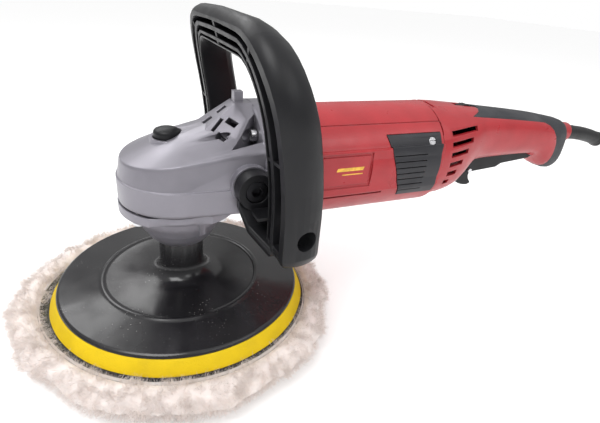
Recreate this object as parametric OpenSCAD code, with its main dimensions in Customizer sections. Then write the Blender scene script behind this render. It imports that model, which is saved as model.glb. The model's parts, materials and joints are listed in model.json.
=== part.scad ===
// Rotary polisher: a right-angle machine with a wool bonnet, a D-handle over the gear head and a
// trigger handle behind the motor. The origin is the centre of the wool face on the spindle axis,
// +Z runs up the spindle and +X runs back along the motor to the rear handle.

/* [Pad] */
// Radius of the wool bonnet at its widest
wool_r = 109; // [107:1:111]
// Height of the wool rim
wool_h = 26; // [25:0.5:27]
// Largest radius of the yellow foam layer
foam_r = 90; // [89:0.5:91]
// Radius of the rigid backing plate
plate_r = 84.8; // [84:0.2:86]
// Radius of the backing plate's hub
hub_r = 15.3; // [15:0.1:16]

/* [Gear head] */
// Radius of the cast nose around the spindle
nose_r = 39; // [38.5:0.1:39.5]
// Height of the underside of the cast gear case
case_z = 102; // [101.8:0.1:102.2]
// Radius of the flange that carries the motor
flange_r = 43; // [42.5:0.1:43.5]
// Teeth on the ring gear
ring_teeth = 40; // [40]
// Teeth on the motor pinion
pinion_teeth = 10; // [10]

/* [Motor] */
// Height of the motor axis above the wool face
motor_z = 122; // [122]
// Radius of the motor housing
barrel_r = 39.6; // [39.4:0.1:39.8]
// Place of the joint between the motor housing and the rear handle
seam_x = 192; // [191.5:0.1:192.5]

/* [Handles] */
// Half the outer width of the D-handle
loop_w = 91.5; // [91:0.5:92]
// Height of the D-handle's front top edge
loop_top = 215; // [214:0.5:216]
// Depth of the D-handle's arms from front to back
loop_depth = 26.5; // [26:0.5:27]
// Radius of the cord protector
sleeve_r = 7; // [6.8:0.1:7.2]

/* [Hidden] */

$fn = 96;
eps = 0.01;
coarse = 32;              // facets round a hull's own corners
seam_gap = 0.4;

black = "#26262a";
red = "#c2373d";
cast = "#b9b9bd";
steel = "#8d9096";
copper = "#b4683c";

function lerp(a, b, t) = a + (b - a) * t;

// Which span of a rising list of [x, y] points holds x
function span_at(x, p, i = 0) = i >= len(p) - 2 || x < p[i + 1][0] ? i : span_at(x, p, i + 1);

// Slope of the smooth curve at one of its points
function slope_at(p, i) = let (a = p[max(i - 1, 0)], b = p[min(i + 1, len(p) - 1)])
    (b[1] - a[1]) / (b[0] - a[0]);

// Height at x of a smooth curve through a list of [x, y] points
function curve(x, p) = let (i = span_at(x, p), h = p[i + 1][0] - p[i][0], t = (x - p[i][0]) / h)
    p[i][1] * (2 * pow(t, 3) - 3 * pow(t, 2) + 1) + p[i + 1][1] * (3 * pow(t, 2) - 2 * pow(t, 3))
    + h * slope_at(p, i) * (pow(t, 3) - 2 * pow(t, 2) + t)
    + h * slope_at(p, i + 1) * (pow(t, 3) - pow(t, 2));

// Closed solid over rings of points that all have the same count
module skin(rings) {
    n = len(rings[0]);
    m = len(rings);
    polyhedron(
        points = [for (r = rings) each r],
        faces = concat(
            [[for (j = [0 : n - 1]) j]],
            [for (i = [0 : m - 2], j = [0 : n - 1], k = [0, 1])
                let (a = i * n + j, b = i * n + (j + 1) % n)
                k == 0 ? [a, a + n, b + n] : [a, b + n, b]],
            [[for (j = [n - 1 : -1 : 0]) (m - 1) * n + j]]));
}

// Cylinder along X on the motor axis
module xcyl(r, x0, x1, r2 = undef) {
    translate([x0, 0, motor_z]) rotate([0, 90, 0])
        cylinder(h = x1 - x0, r1 = r, r2 = is_undef(r2) ? r : r2);
}

// Ring along X on the motor axis
module xring(r, bore, x0, x1) {
    difference() {
        xcyl(r, x0, x1);
        xcyl(bore, x0 - 1, x1 + 1);
    }
}

// Cylinder along Y through a place in the XZ plane
module ycyl(r, x, z, y0, y1) {
    translate([x, y1, z]) rotate([90, 0, 0]) cylinder(h = y1 - y0, r = r);
}

// Cylinder along Z about the spindle axis
module zcyl(r, z0, z1, x = 0, y = 0) {
    translate([x, y, z0]) cylinder(h = z1 - z0, r = r);
}

// Box from one corner to the other
module block(lo, hi) {
    translate(lo) cube(hi - lo);
}

// Outline in the XZ plane, extruded along Y
module side_plate(points, y0, y1) {
    translate([0, y1, 0]) rotate([90, 0, 0]) linear_extrude(height = y1 - y0) polygon(points);
}

// The same thing on both sides of the machine
module both_sides() {
    children();
    mirror([0, 1, 0]) children();
}

// ---- Pad ----

backing_z = 20.5;
hook_z = 22;
foam_z = 24.5;
plate_z = 34;
hub_top = 72;
insert_r = 9;
thread_r = 6.9;

module wool_pile() {
    color("#efe9da") rotate_extrude() polygon([[0, 0], [90, 0], [94.5, 2], [99.3, 7],
        [103.4, 12.2], [wool_r - 2.4, 16], [wool_r - 0.2, 19], [wool_r - 0.8, 22], [104.5, 25],
        [100, wool_h], [95.5, 25.4], [92.6, 23], [92, backing_z], [0, backing_z]]);
}

module wool_backing() {
    color("#3a3a3c") zcyl(91.4, backing_z, hook_z);
}

module hook_disc() {
    color("#232325") zcyl(foam_r + 0.9, hook_z, foam_z);
}

module foam_ring() {
    color("#f2cf12") rotate_extrude() polygon([[20, foam_z], [foam_r, foam_z],
        [foam_r + 0.2, foam_z + 1], [plate_r + 1.2, plate_z - 1.2], [plate_r + 0.3, plate_z],
        [20, plate_z]]);
}

module backing_plate() {
    bead_r = 55.5;
    color(black) difference() {
        rotate_extrude() difference() {
            polygon([[0, plate_z], [plate_r, plate_z], [plate_r + 0.2, plate_z + 0.8],
                [plate_r - 0.5, plate_z + 2], [plate_r - 1.8, plate_z + 2.8],
                [bead_r + 3, 38.4], [bead_r + 1.7, 38.9], [bead_r + 0.6, 39.6], [bead_r - 0.8, 39.6],
                [bead_r - 1.8, 39], [bead_r - 3, 38.8], [30, 39.9], [25, 40.7], [21, 42.4],
                [18, 44.8], [16.2, 48], [hub_r, 52], [hub_r, hub_top - 1], [hub_r - 1, hub_top],
                [0, hub_top]]);
            translate([0, plate_z - 1]) square([insert_r, hub_top - plate_z + 2]);
        }
        for (a = [0 : 60 : 300]) rotate(a) translate([72, 0, plate_z - 1]) cylinder(h = 2, r = 2);
    }
}

module hub_insert() {
    color(steel) difference() {
        zcyl(insert_r, plate_z, hub_top - 0.6);
        zcyl(thread_r + 0.05, plate_z - 1, hub_top + 1);
    }
}

// ---- Spindle ----

shoulder_z = hub_top + 1;
seat_z = 79;
gear_seat_z = 91;
gear_hub_top = 116;
bush_z = [124, 132];

module spindle() {
    color(steel) difference() {
        union() {
            zcyl(thread_r, 46, shoulder_z);
            zcyl(10.5, shoulder_z, shoulder_z + 4);
            zcyl(7.5, shoulder_z + 4, gear_seat_z);
            zcyl(6.5, gear_seat_z, gear_hub_top);
            zcyl(4.5, gear_hub_top, bush_z[1] - 0.5);
        }
        for (s = [-1, 1]) block([-12, s > 0 ? 8.5 : -12, shoulder_z - eps],
            [12, s > 0 ? 12 : -8.5, shoulder_z + 4]);
        block([4.4, -2, 104], [8, 2, 114]);
        for (z = [49 : 2.5 : 69]) translate([0, 0, z]) difference() {
            cylinder(h = 0.7, r = 8);
            translate([0, 0, -1]) cylinder(h = 3, r = thread_r - 0.6);
        }
    }
}

// Deep-groove ball bearing's outer ring and its balls, on the Z axis from z = 0
module bearing_outer(outer, inner, width) {
    mid = (outer + inner) / 2;
    ball = (outer - inner) * 0.29;
    count = floor(3.14 * mid / ball * 0.8);
    difference() {
        cylinder(h = width, r = outer);
        translate([0, 0, -1]) cylinder(h = width + 2, r = mid + ball * 0.62);
        translate([0, 0, width / 2]) rotate_extrude() translate([mid, 0]) circle(ball + 0.06);
    }
    for (i = [0 : count - 1]) rotate(i * 360 / count) translate([mid, 0, width / 2])
        sphere(r = ball, $fn = 64);
}

// The matching inner ring
module bearing_inner(outer, inner, width) {
    mid = (outer + inner) / 2;
    ball = (outer - inner) * 0.29;
    difference() {
        cylinder(h = width, r = mid - ball * 0.62);
        translate([0, 0, -1]) cylinder(h = width + 2, r = inner);
        translate([0, 0, width / 2]) rotate_extrude() translate([mid, 0]) circle(ball + 0.06);
    }
}

module spindle_bearing_outer() {
    color("#a9adb3") translate([0, 0, seat_z]) bearing_outer(17.5, 7.5, 11);
}

module spindle_bearing_inner() {
    color("#a9adb3") translate([0, 0, seat_z]) bearing_inner(17.5, 7.5, 11);
}

// ---- Bevel gears: both cones meet where the motor axis crosses the spindle axis ----

module_mm = 1.4;
cone_x = module_mm * ring_teeth / 2;       // pitch radius of the ring gear at its outer edge
cone_z = module_mm * pinion_teeth / 2;     // pitch radius of the pinion there
ring_cone = atan(cone_x / cone_z);
tip_angle = 2.3;
root_angle = 3.3;

// Star outline of a bevel gear in a plane across its axis, at a distance from the cones' apex
function star(teeth, cone, depth, tip_share, root_share, phase) = [for (i = [0 : teeth - 1])
    each let (p = 360 / teeth, a = i * p + phase,
        tip = depth * tan(cone + tip_angle), root = depth * tan(cone - root_angle))
        [for (q = [[root, -root_share], [tip, -tip_share], [tip, tip_share], [root, root_share]])
            q[0] * [cos(a + q[1] * p), sin(a + q[1] * p)]]];

module ring_gear() {
    depth = 9.4;
    face = 8.4;
    color("#7c7f84") difference() {
        union() {
            intersection() {
                translate([0, 0, motor_z - depth])
                    linear_extrude(height = depth - 3.4, scale = 3.4 / depth)
                        polygon(star(ring_teeth, ring_cone, depth, 0.1, 0.27, 0));
                difference() {
                    zcyl(cone_x + 0.6, motor_z - depth, 119);
                    zcyl(cone_x - face, motor_z - depth - 1, 120);
                }
            }
            zcyl(cone_x + 0.6, 106.5, motor_z - depth);
            zcyl(15, 103.4, gear_hub_top);
        }
        zcyl(6.5, 100, 130);
        block([6, -2, 104], [8.2, 2, 114]);
        for (a = [0 : 45 : 315]) rotate(a) zcyl(2.6, gear_hub_top - 5, gear_hub_top + 1, 12);
    }
}

module gear_key() {
    color(steel) block([4.4, -2, 104], [8.2, 2, 114]);
}

module spindle_circlip() {
    color("#55585d") difference() {
        zcyl(8, gear_hub_top, gear_hub_top + 1.2);
        zcyl(4.5, gear_hub_top - 1, gear_hub_top + 2);
        block([3, -2, gear_hub_top - 1], [9, 2, gear_hub_top + 3]);
    }
}

module spindle_bush() {
    color("#b08d4a") difference() {
        zcyl(6.5, bush_z[0], bush_z[1]);
        zcyl(4.55, bush_z[0] - 1, bush_z[1] + 1);
    }
}

// ---- Armature line ----

shaft_r = 4;
front_seat = [38, 48];
core_x = [92, 138];
core_r = 22;
commutator_x = [154, 172];
rear_seat = [178, 185];
fan_x = [67, 80];

module pinion() {
    inner_x = 18.5;
    outer_x = cone_x + 0.7;
    color("#7c7f84") difference() {
        union() {
            translate([outer_x, 0, motor_z]) rotate([0, -90, 0])
                linear_extrude(height = outer_x - inner_x, scale = inner_x / outer_x)
                    polygon(star(pinion_teeth, 90 - ring_cone, outer_x, 0.09, 0.27, 18));
            xcyl(5.6, outer_x - 0.5, 33.5);
        }
        xcyl(shaft_r, inner_x - 1, 40);
    }
}

module pinion_nut() {
    color("#9a9da3") difference() {
        translate([13.4, 0, motor_z]) rotate([0, 90, 0]) cylinder(h = 4.4, r = 5.2, $fn = 6);
        xcyl(shaft_r - 0.6, 12, 20);
    }
}

module armature_shaft() {
    color(steel) union() {
        xcyl(shaft_r - 0.6, 12.4, 18.5);
        xcyl(shaft_r, 18.5, 33.5);
        xcyl(6, 33.5, fan_x[1] + 1);
        xcyl(7, fan_x[1] + 1, core_x[1] + 14);
        xcyl(5.5, core_x[1] + 14, rear_seat[0] - 1);
        xcyl(shaft_r, rear_seat[0] - 1, rear_seat[1] + 2);
    }
}

module front_bearing_outer() {
    color("#a9adb3") translate([front_seat[0], 0, motor_z]) rotate([0, 90, 0]) bearing_outer(16, 6, 10);
}

module front_bearing_inner() {
    color("#a9adb3") translate([front_seat[0], 0, motor_z]) rotate([0, 90, 0]) bearing_inner(16, 6, 10);
}

module rear_bearing_outer() {
    color("#a9adb3") translate([rear_seat[0], 0, motor_z]) rotate([0, 90, 0]) bearing_outer(11, 4, 7);
}

module rear_bearing_inner() {
    color("#a9adb3") translate([rear_seat[0], 0, motor_z]) rotate([0, 90, 0]) bearing_inner(11, 4, 7);
}

module bearing_retainer() {
    color("#9a9da3") difference() {
        xcyl(20, 48, 49.6);
        xcyl(11, 47, 51);
        for (s = [-1, 1]) translate([47, 0, motor_z + s * 17.8]) rotate([0, 90, 0]) cylinder(h = 4, r = 1.6);
    }
}

module cooling_fan() {
    blades = 11;
    color("#3b3c40") difference() {
        union() {
            xcyl(27.5, fan_x[1] - 2, fan_x[1]);
            xcyl(10, fan_x[0], fan_x[1]);
            for (i = [0 : blades - 1]) translate([fan_x[0], 0, motor_z]) rotate([i * 360 / blades, 0, 0])
                translate([0, 8, -0.8]) rotate([12, 0, 0]) cube([fan_x[1] - fan_x[0] - 1, 18.8, 1.6]);
        }
        xcyl(6, fan_x[0] - 1, fan_x[1] + 1);
    }
}

module fan_baffle() {
    color("#2d2e31") difference() {
        xcyl(36.4, 82.4, 84.4);
        xcyl(24.5, 81, 86);
    }
}

module stator_core() {
    bore = core_r + 0.6;
    color("#6f7177") difference() {
        xcyl(35.6, core_x[0], core_x[1]);
        xcyl(bore, core_x[0] - 1, core_x[1] + 1);
        for (s = [0, 180], w = [-1, 1]) translate([core_x[0] - 1, 0, motor_z]) rotate([s + w * 52, 0, 0])
            translate([0, -3.5, bore - 1]) cube([48, 7, 8]);
    }
}

// Arc of wire bundle round the motor axis
module coil_end(x0, x1) {
    for (s = [0, 180]) translate([x0, 0, motor_z]) rotate([s - 52, 0, 0]) rotate([0, 90, 0])
        rotate([0, 0, 180]) rotate_extrude(angle = 104) translate([24.6, 0]) square([7.2, x1 - x0]);
}

module field_coils() {
    color(copper) union() {
        coil_end(core_x[0] - 7, core_x[0]);
        coil_end(core_x[1], core_x[1] + 8);
    }
}

module armature_core() {
    slots = 12;
    color("#777a80") difference() {
        xcyl(core_r, core_x[0], core_x[1]);
        xcyl(7, core_x[0] - 1, core_x[1] + 1);
        for (i = [0 : slots - 1]) translate([core_x[0] - 1, 0, motor_z]) rotate([i * 360 / slots, 0, 0])
            translate([0, -1.5, core_r - 7]) cube([60, 3, 9]);
    }
}

module armature_windings() {
    color(copper) union() {
        difference() {
            xcyl(16, core_x[0] - 6.5, core_x[0], 20);
            xcyl(7, core_x[0] - 8, core_x[0] + 1);
        }
        difference() {
            xcyl(20, core_x[1], core_x[1] + 10, 13.5);
            xcyl(7, core_x[1] - 1, core_x[1] + 11);
        }
    }
}

module commutator() {
    bars = 24;
    color(copper) difference() {
        xcyl(12, commutator_x[0], commutator_x[1]);
        xcyl(5.5, commutator_x[0] - 1, commutator_x[1] + 1);
        for (i = [0 : bars - 1]) translate([commutator_x[0] - 1, 0, motor_z])
            rotate([i * 360 / bars, 0, 0]) translate([0, -0.25, 11]) cube([20, 0.5, 2]);
    }
}

brush_x = 163;

module carbon_brushes() {
    color("#2b2b2d") both_sides() block([brush_x - 5, 12.2, motor_z - 3], [brush_x + 5, 24, motor_z + 3]);
}

module brush_springs() {
    color(steel) both_sides() difference() {
        ycyl(2.4, brush_x, motor_z, 24, 31);
        ycyl(1.6, brush_x, motor_z, 23, 32);
    }
}

module brush_holders() {
    color("#b59a4a") both_sides() difference() {
        block([brush_x - 6.2, 14.5, motor_z - 4.2], [brush_x + 6.2, 32.2, motor_z + 4.2]);
        block([brush_x - 5.1, 13, motor_z - 3.1], [brush_x + 5.1, 31, motor_z + 3.1]);
    }
}

// ---- Gear case ----

case_back = 47;
flange_x = [46.8, 62];
crease_z = 119;
handle_bolt = [37, 122.5];         // x and z of the bolt that holds the D-handle
bolt_r = 4;
cover_screw_at = [[21.5, 27.6], [-28.8, 20.2]];
case_screw_r = 33;
case_screw_turn = 39;              // from the vertical
button_at = -6;
button_r = 8.5;
button_travel = 4.5;
button_z = 140;
pin_at = -12;

// Outline of the head seen from above, drawn in by an inset, at its height
function head_ring(inset, z0, rise) = [for (i = [-1 : 25])
    let (a = 90 + i * 7.5,
        x = i < 0 || i > 24 ? case_back : (nose_r - inset) * cos(a),
        y = i < 0 ? nose_r + 2.6 - inset : i > 24 ? inset - nose_r - 2.6
            : (nose_r - inset) * sin(a))
        [x, y, z0 + rise * x]];

// The same outline drawn in towards the ridge of the domed cap
function dome_ring(c, inset) = [for (p = head_ring(inset, 0, 0))
    let (x = p[0] > 0.5 ? p[0] : p[0] * c, y = p[1] * c)
        [x, y, 136 + 0.145 * x + (10.2 + 0.14 * x) * (1 - c * c)]];

module head_body() {
    skin([head_ring(1.4, case_z, 0), head_ring(0.3, case_z + 0.8, 0), head_ring(0, case_z + 2.2, 0),
        head_ring(0, crease_z, 0), head_ring(0.9, crease_z + 0.5, 0),
        head_ring(2.6, 134.2, 0.145), head_ring(2.9, 135.2, 0.145),
        for (c = [0.995, 0.96, 0.9, 0.8, 0.65, 0.5, 0.35, 0.2, 0.08]) dome_ring(c, 3.2)]);
}

// Bevelled block behind the dome that holds the cooling slots
module vent_block(back) {
    hull() for (s = [-1, 1], p = [[16, 11.6, 149.1], [25.3, 31, 141.2], [40.2, 19.2, 157.1],
        [36.6, 6.3, 164], [back, 6.6, 164], [back, 20, 156.6], [back, 20, 137], [18, 11.6, 137]])
        translate([p[0], s * p[1], p[2]]) sphere(r = 0.6, $fn = 8);
}

// Slot through a facet whose normal leans back by tilt and then turns about Z
module slot(at, turn, tilt, spin, size) {
    translate(at) rotate([0, 0, turn]) rotate([0, -tilt, 0]) rotate(spin)
        translate([-size[0] / 2, -size[1] / 2, -11]) cube([size[0], size[1], 14]);
}

module gear_case() {
    mid_tilt = 35.5;      // lean of the vent block's middle facet
    side_tilt = 40.8;     // lean and turn of its side facets
    side_turn = 51.6;
    driver_room = 12;     // clear length in front of each case screw
    color(cast) difference() {
        union() {
            head_body();
            vent_block(flange_x[0] + 1);
            xcyl(flange_r - 1.2, flange_x[0], flange_x[0] + 1.2, flange_r);
            xcyl(flange_r, flange_x[0] + 1.2, flange_x[1]);
            both_sides() ycyl(12.8, handle_bolt[0], handle_bolt[1], 30, 43.4);
            block([37, -3, 160], [43, 3, 171.4]);
            zcyl(11.2, 134, 142.8, button_at);
        }
        zcyl(31, case_z - 1, 126);
        xcyl(12, 10, 37);
        xcyl(16, front_seat[0], front_seat[1]);
        xcyl(10.5, 30, flange_x[1] + 1);
        xcyl(20.2, front_seat[1], flange_x[0] + 6);
        xcyl(36.5, flange_x[0] + 5, flange_x[1] + 1);
        side_plate([[22, 147.4], [36, 154.4], [flange_x[1] + 1, 154.4], [flange_x[1] + 1, 140.4],
            [22, 140.4]], -15, 15);
        side_plate([[22, 151], [35, 160.4], [flange_x[0] - 2, 160.4], [flange_x[0] - 2, 154],
            [22, 147]], -6, 6);
        zcyl(6.5, 120, bush_z[1]);
        zcyl(9, 134.8, 160, button_at);
        zcyl(2.27, 120, 140, pin_at);
        slot([19.8, 0, 152.8], 0, mid_tilt, 0, [7, 5]);
        slot([29.2, 0, 159.5], 0, mid_tilt, 0, [7, 4.4]);
        both_sides() {
            slot([31.5, 16.5, 155.1], -side_turn, side_tilt, 24, [4.4, 8.4]);
            slot([23.6, 21.7, 147.4], -side_turn, side_tilt, 24, [4.4, 8.4]);
            slot([23.1, 13, 153], -side_turn, side_tilt, 19, [10.8, 2.6]);
            translate([0, 0, 138.6]) linear_extrude(height = 30)
                polygon([[26.8, 33.2], [flange_x[0], 15.2], [flange_x[0], 33.2]]);
            ycyl(bolt_r + 0.05, handle_bolt[0], handle_bolt[1], 31, 45);
            for (p = cover_screw_at) zcyl(2.5, case_z - 1, 116, p[0], p[1]);
        }
        for (a = [case_screw_turn, 180 - case_screw_turn], s = [-1, 1])
            translate([0, 0, motor_z]) rotate([s * a, 0, 0]) translate([0, 0, case_screw_r])
                rotate([0, 90, 0]) {
                    cylinder(h = flange_x[1] + 8, r = 2.6);
                    translate([0, 0, flange_x[0] - driver_room]) cylinder(h = driver_room, r = 4.3);
                }
    }
}

module bearing_cover() {
    lobe_turns = [-145, -52, 52, 145];
    color(cast) difference() {
        union() {
            rotate_extrude() polygon([[0, 70], [17, 70], [18.6, 70.8], [22.4, 75], [25.2, 80.5],
                [25.6, 80.5], [27, 86], [27.4, 93.4], [29, 94.4], [34, 94.6], [35.6, 95.4], [36, 97],
                [36, 101], [35.4, 101], [35.4, case_z], [30.9, case_z], [30.9, 103], [0, 103]]);
            intersection() {
                zcyl(39.4, 95.4, 101.4);
                translate([0, 0, 95]) linear_extrude(height = 7)
                    polygon([for (a = lobe_turns) 50 * [cos(a), sin(a)]]);
            }
            rotate(-70) block([25, -2.2, 82], [28.2, 2.2, 95]);
        }
        zcyl(hub_r + 2.2, 69, shoulder_z + 4.6);
        zcyl(13, 70, seat_z + 1);
        zcyl(17.5, seat_z, seat_z + 11);
        zcyl(16, seat_z + 10, 95);
        zcyl(29.4, 94.9, 104);
        both_sides() for (p = cover_screw_at) {
            zcyl(2.6, 90, 104, p[0], p[1]);
            zcyl(4.2, 90, 95.4, p[0], p[1]);
        }
    }
}

module cover_screws() {
    color("#c9cbd0") both_sides() for (p = cover_screw_at) translate([p[0], p[1], 0]) difference() {
        union() {
            zcyl(3.8, 93.2, 95.4);
            zcyl(2.45, 95.4, 113);
        }
        for (a = [0, 90]) rotate(a) block([-2.8, -0.5, 92], [2.8, 0.5, 94.4]);
    }
}

module lock_button() {
    color("#1c1c1f") translate([button_at, 0, 0]) difference() {
        union() {
            zcyl(button_r, button_z, 145.6);
            translate([0, 0, 145.6]) rotate_extrude() polygon([[0, 0], [button_r, 0],
                [button_r - 0.3, 1.2], [button_r - 1.2, 2.2], [button_r - 3, 3], [4, 3.4], [0, 3.6]]);
        }
        zcyl(3.6, button_z - 1, 143);
        zcyl(2.2, button_z - 1, 144.5, pin_at - button_at);
    }
}

module lock_pin() {
    color(steel) zcyl(2.2, gear_hub_top - 2.5 + button_travel, 144.5, pin_at);
}

module lock_spring() {
    color(steel) translate([button_at, 0, 0]) difference() {
        zcyl(3.4, 134.9, 143);
        zcyl(2.4, 134, 144);
    }
}

// Cross-recess screw along X with its head at the front
module x_screw(x0, x1, head_r, shank_r, head) {
    difference() {
        union() {
            translate([x0, 0, 0]) rotate([0, 90, 0]) cylinder(h = head, r = head_r);
            translate([x0 + head, 0, 0]) rotate([0, 90, 0]) cylinder(h = x1 - x0 - head, r = shank_r);
        }
        for (a = [0, 90]) translate([x0 - 1, 0, 0]) rotate([a, 0, 0])
            translate([0, -0.5, -head_r + 1]) cube([2.8, 1, 2 * head_r - 2]);
    }
}

module case_screws() {
    color("#d6d8dc") for (a = [case_screw_turn, 180 - case_screw_turn], s = [-1, 1])
        translate([0, 0, motor_z]) rotate([s * a, 0, 0]) translate([0, 0, case_screw_r])
            x_screw(a < 90 ? 42.6 : 43.6, 76, 4, 2.5, a < 90 ? 3.4 : 3.2);
}

// ---- Motor housing ----

barrel_x = [flange_x[1], seam_x];
barrel_wall = 3;
cover_front = [[141, 146], [156.4, 99.6]];
cover_seat = barrel_r - 1.3;

// Cross-section of the barrel, seen along X with the motor axis at the origin
module barrel_section(inset) {
    union() {
        circle(barrel_r - inset);
        intersection() {
            translate([-38.6 + inset, 4 - barrel_r + inset]) square([77.2 - 2 * inset, 52 - 2 * inset]);
            circle(barrel_r + 2 - inset);
        }
    }
}

// The section pushed along X
module barrel(inset, x0, x1) {
    translate([x0, 0, motor_z]) rotate([90, 0, 90]) linear_extrude(height = x1 - x0)
        barrel_section(inset);
}

module motor_housing() {
    color(red) difference() {
        union() {
            difference() {
                barrel(0, barrel_x[0], barrel_x[1]);
                xcyl(barrel_r - barrel_wall, barrel_x[0] - 1, barrel_x[1] + 1);
            }
            difference() {
                xcyl(35.3, barrel_x[1] - 12, barrel_x[1] + 5);
                xcyl(33, barrel_x[1] - 13, barrel_x[1] + 6);
            }
            difference() {
                xcyl(36.7, rear_seat[0] - 1, rear_seat[1]);
                for (i = [0 : 5]) translate([rear_seat[0] - 2, 0, motor_z]) rotate([i * 60 + 30, 0, 0])
                    translate([0, 0, 24.5]) rotate([0, 90, 0]) cylinder(h = 12, r = 9);
            }
            intersection() {
                xcyl(37, barrel_x[0], 88);
                for (a = [case_screw_turn, 180 - case_screw_turn], s = [-1, 1])
                    translate([barrel_x[0], 0, motor_z]) rotate([s * a, 0, 0])
                        translate([0, 0, case_screw_r]) rotate([0, 90, 0]) cylinder(h = 16, r = 4.6);
            }
        }
        xcyl(11, rear_seat[0] - 0.01, rear_seat[1] + 1);
        xcyl(8, rear_seat[0] - 2, rear_seat[1] + 1);
        for (a = [case_screw_turn, 180 - case_screw_turn], s = [-1, 1])
            translate([barrel_x[0] - 1, 0, motor_z]) rotate([s * a, 0, 0])
                translate([0, 0, case_screw_r]) rotate([0, 90, 0]) cylinder(h = 15.2, r = 2.5);
        both_sides() {
            block([barrel_x[0] - 1, 24.6, 152], [barrel_x[1] + 9, 25.4, 156]);
            block([barrel_x[0] - 1, 37.7, 111], [128, 45, 136.5]);
            block([barrel_x[0] - 1, 37.3, 141.6], [127.5, 45, 143]);
            block([barrel_x[0] - 1, 36.2, 104], [140, 45, 105.4]);
            side_cover_blank(0.25, 2.2);
            block([brush_x - 9, 30, motor_z - 7], [brush_x + 9, 45, motor_z + 7]);
            at_cover_screw() translate([0, 0, 30]) cylinder(h = 12, r = 1.45);
        }
    }
}

// Trapezium over the brush gear; grow widens it and sink sets how deep it goes
module side_cover_blank(grow, sink) {
    intersection() {
        side_plate([[cover_front[0][0] - grow, cover_front[0][1] + grow],
            [barrel_x[1] - 2.6 + grow, cover_front[0][1] + grow],
            [barrel_x[1] - 2.6 + grow, cover_front[1][1] - grow],
            [cover_front[1][0] - grow, cover_front[1][1] - grow]], 20, 50);
        difference() {
            barrel(-3, 130, 200);
            barrel(sink, 129, 201);
        }
    }
}

// Along the radius that the cover's screw lies on
module at_cover_screw() {
    translate([181, 0, motor_z]) rotate([-62, 0, 0]) children();
}

module side_cover() {
    color("#2a2b2e") difference() {
        intersection() {
            side_cover_blank(0, 2.1);
            barrel(-0.5, 129, 201);
        }
        at_cover_screw() cylinder(h = 50, r = 1.5);
        at_cover_screw() translate([0, 0, cover_seat]) cylinder(h = 5, r = 3.4);
        for (z = [104 : 4.6 : 136]) block([146, 37.6, z], [176, 50, z + 0.8]);
    }
}

module side_cover_left() {
    mirror([0, 1, 0]) side_cover();
}

module side_cover_right() {
    side_cover();
}

module cover_plate_screws() {
    color("#c9cbd0") both_sides() at_cover_screw() difference() {
        union() {
            translate([0, 0, cover_seat]) cylinder(h = 1.5, r = 3);
            translate([0, 0, 31]) cylinder(h = cover_seat - 31, r = 1.4);
        }
        translate([-4, -0.4, cover_seat + 0.7]) cube([8, 0.8, 2]);
    }
}

module badge_plate() {
    color("#a8262f") both_sides() block([88, 37.75, 113.4], [126, 38.4, 134.4]);
}

// ---- Rear handle ----

shell_wall = 2.6;
grip_skin = 2;
ridge = [[192, 161.6], [205, 161], [222, 159.4], [240, 157.6], [262, 155.3], [285, 153],
    [310, 150.2], [330, 147.6], [345, 145.2], [355, 143.6], [362, 141.6], [368, 138.4],
    [372.5, 133.4], [375.4, 127], [377, 120]];
keel = [[192, 83.6], [205, 84.6], [215, 86.4], [223, 89], [230, 95.5], [237, 105], [244, 110.4],
    [252, 111.6], [285, 111.8], [315, 111.8], [328, 110.6], [336, 106], [343, 99.6], [351, 95.2],
    [360, 93.4], [367, 95], [372, 98.2], [375.4, 102.8], [377, 109]];
half_width = [[192, 39], [205, 37.4], [222, 33.2], [238, 28.4], [254, 24.6], [275, 22], [300, 20.6],
    [330, 20.2], [345, 19.6], [353, 18.8], [360, 17.4], [366, 15], [371, 11.6], [374.6, 7.8], [377, 3]];
handle_stations = [192.4, 199, 206, 213, 219, 224, 229, 234, 239, 245, 253, 264, 278, 294, 310,
    321, 329, 335, 340, 345, 350, 355, 360, 365, 369, 372, 374.4, 376, 377];

function power(v, e) = sign(v) * pow(abs(v), e);

// Closed section of the rear handle at x, drawn in by an inset
function handle_ring(x, inset, steps) =
    let (top = curve(x, ridge) - inset, low = curve(x, keel) + inset,
        wide = curve(x, half_width) - inset, e = 2 / lerp(2.1, 2.8, min(1, (x - 192) / 60)),
        mid = (top + low) / 2, tall = (top - low) / 2,
        at = x - inset * pow((x - 192) / 185, 8))
    [for (i = [0 : steps - 1]) let (a = i * 360 / steps)
        [at, -wide * power(sin(a), e), mid + tall * power(cos(a), e)]];

module handle_solid(inset, first = 0, last = 28) {
    skin([for (i = [first : last]) handle_ring(handle_stations[i], inset, 28)]);
}

// Side outline of the soft overmould: a band along the ridge and the whole of the butt
module grip_region() {
    side_plate(concat([[400, 170], [256, 170], [251, 157.4], [231, 153.4], [272, 149.2]],
        [for (a = [90 : -15 : 0]) [317 + 31 * cos(a), 116 + 28.6 * sin(a)]],
        [[347.5, 88], [400, 88]]), -40, 40);
}

sleeve_at = [352, 130.3];
sleeve_lean = 5.5;
sleeve_straight = 40;
sleeve_flange = 2;
collar_r = 9.4;

// Things along the cord protector's own line, which starts level and leans down
module on_sleeve_line() {
    translate([sleeve_at[0], 0, sleeve_at[1]]) rotate([0, sleeve_lean, 0]) rotate([0, 90, 0])
        children();
}

shell_boss_at = [[214, 97], [256.2, 146.6], [341, 121], [357, 102]];
clamp_x = 326;
clamp_y = 8.4;
clamp_z = 131;
boss_depth = [22, 19, 15, 11.5];
pin_x = 326;
pin_z = 114.6;
dial_x = 238;
dial_z = 146.4;
dial_r = 12.4;

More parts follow.
